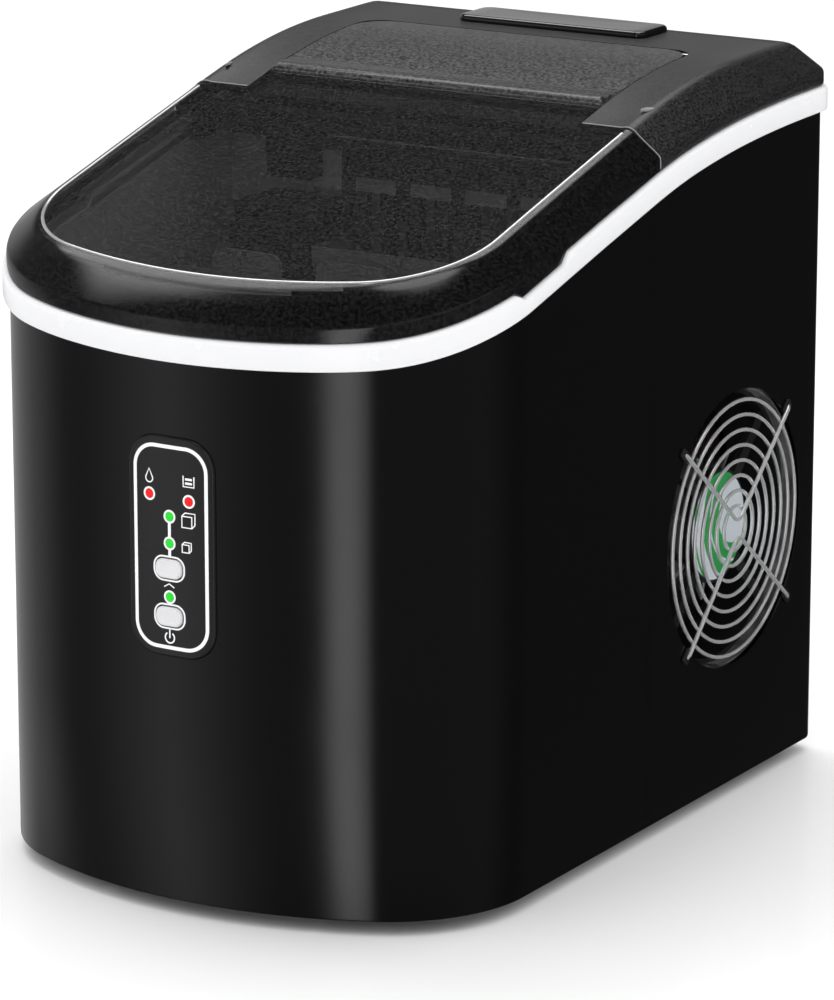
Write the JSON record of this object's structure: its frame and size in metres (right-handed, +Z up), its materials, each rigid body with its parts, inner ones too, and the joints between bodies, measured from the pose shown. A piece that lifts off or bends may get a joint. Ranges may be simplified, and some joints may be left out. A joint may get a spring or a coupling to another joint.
{
  "type": "countertop ice maker",
  "caption": "Bow-fronted countertop ice maker with a hinged smoked lid, white shoulder band, side fan guard, front button panel and its ice-making mechanism inside.",
  "frame": {"origin": "on the surface it stands on, under the middle of the case", "axes": "+Z up, +Y towards the back, +X towards the side with the fan guard"},
  "size_m": [0.242, 0.343, 0.3225],
  "materials": {
    "case_black": "gloss",
    "band_white": "gloss",
    "cover_black": "fine texture",
    "plate_black": "gloss",
    "smoked": "clear smoked",
    "pan_grey": "satin",
    "foot_rubber": "matte",
    "pin_steel": "satin",
    "tub_grey": "satin",
    "foam": "matte",
    "basket_plastic": "satin",
    "inner_black": "satin",
    "copper": "bright",
    "finger_nickel": "bright",
    "compressor_black": "satin",
    "fin_aluminium": "satin",
    "guard_chrome": "mirror",
    "label_green": "printed",
    "hose_clear": "soft",
    "board_green": "satin",
    "panel_black": "gloss",
    "mark_white": "printed",
    "lens_red": "clear",
    "lens_green": "clear",
    "button_silver": "metallic"
  },
  "bodies": {
    "case": {"base_pan": "pan_grey", "feet": "foot_rubber", "front_shell": "case_black", "rear_shell": "case_black", "trim_band": "band_white", "rear_cover": "cover_black", "top_deck": "cover_black", "nameplate": "plate_black", "inner_tub": "tub_grey", "tub_insulation": "foam", "cross_bar": "cover_black", "tray_motor": "inner_black", "tray_bracket": "inner_black", "evaporator": "copper", "freezing_fingers": "finger_nickel", "evaporator_cover": "tub_grey", "ice_sensor": "inner_black", "compressor": "compressor_black", "compressor_grommets": "foot_rubber", "condenser_fins": "fin_aluminium", "condenser_tubes": "copper", "fan_frame": "inner_black", "fan_label": "label_green", "fan_shroud": "inner_black", "fan_guard": "guard_chrome", "filter_drier": "copper", "refrigerant_pipes": "copper", "hot_gas_valve": "copper", "water_pump": "inner_black", "water_hose": "hose_clear", "control_board": "board_green", "power_board": "board_green", "panel_bezel": "panel_black", "panel_marks": "mark_white", "red_lenses": "lens_red", "green_lenses": "lens_green", "drain_socket": "basket_plastic", "power_gland": "foot_rubber", "case_screws": "pin_steel"},
    "lid": {"lid": "smoked", "lid_hinge_pins": "pin_steel"},
    "basket": {"ice_basket": "basket_plastic"},
    "tray": {"water_tray": "basket_plastic", "tray_axle_pins": "pin_steel"},
    "pusher": {"ice_pusher": "inner_black"},
    "fan": {"fan_rotor": "inner_black"},
    "select_key": {"select_button": "button_silver"},
    "power_key": {"power_button": "button_silver"},
    "plug": {"drain_plug": "foot_rubber"}
  },
  "joints": [
    {"name": "lid_hinge", "type": "hinge", "parent": "case", "child": "lid", "pos_m": [0, 0.1115, 0.3181], "axis": [-1, 0, 0], "range_deg": [0, 85]},
    {"name": "select_press", "type": "slide", "parent": "case", "child": "select_key", "axis": [0, 1, 0], "range_m": [0, 0.0008], "stiffness_N_per_m": 400, "springref_m": -0.0005},
    {"name": "power_press", "type": "slide", "parent": "case", "child": "power_key", "axis": [0, 1, 0], "range_m": [0, 0.0008], "stiffness_N_per_m": 400, "springref_m": -0.0005},
    {"name": "fan_spin", "type": "hinge", "parent": "case", "child": "fan", "pos_m": [0.1, 0.0875, 0.12], "axis": [1, 0, 0], "continuous": true},
    {"name": "tray_tilt", "type": "hinge", "parent": "case", "child": "tray", "pos_m": [0.029, 0.0135, 0.242], "axis": [1, 0, 0], "range_deg": [0, 60]},
    {"name": "pusher_swing", "type": "hinge", "parent": "case", "child": "pusher", "pos_m": [0.031, -0.0065, 0.29], "axis": [1, 0, 0], "range_deg": [-45, 0]},
    {"name": "basket_lift", "type": "slide", "parent": "case", "child": "basket", "axis": [0, 0, 1], "range_m": [0, 0.018]},
    {"name": "plug_pull", "type": "slide", "parent": "case", "child": "plug", "axis": [-1, 0, 0], "range_m": [0, 0.02]}
  ],
  "couplings": [
    {"joint": "pusher_swing", "follows": "tray_tilt", "ratio": -0.75}
  ]
}
